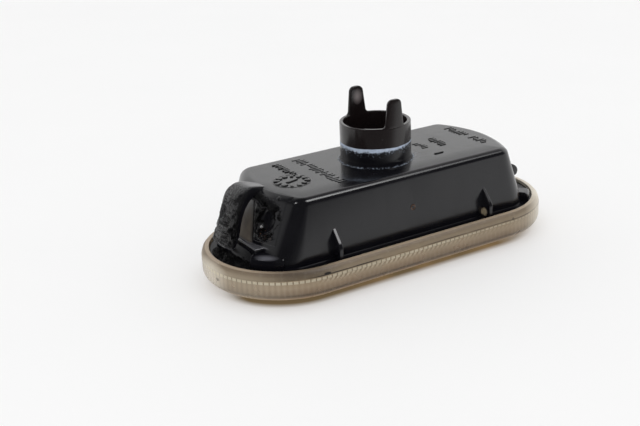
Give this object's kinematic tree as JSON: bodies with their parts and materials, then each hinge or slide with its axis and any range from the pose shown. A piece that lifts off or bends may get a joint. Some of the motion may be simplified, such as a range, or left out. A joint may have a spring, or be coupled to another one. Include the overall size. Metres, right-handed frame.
{
  "type": "side repeater lamp",
  "caption": "Side repeater lamp: smoked oblong lens with round ends, black snap-in housing and a round collar for the bulb holder.",
  "frame": {"origin": "under the middle of the lamp, on the face that the lens rests on", "axes": "+X along the lamp from the spring clip to the fixed hook, +Z out of the back, along the bulb collar"},
  "size_m": [0.097, 0.0414, 0.0417],
  "materials": {
    "black_plastic": "glossy black plastic, dusty and scuffed",
    "smoked_lens": "clear smoked plastic, fluted inside",
    "amber_plastic": "clear amber plastic"
  },
  "bodies": {
    "root": {"housing": "black_plastic", "lens": "smoked_lens", "amber_filter": "amber_plastic"}
  },
  "joints": []
}
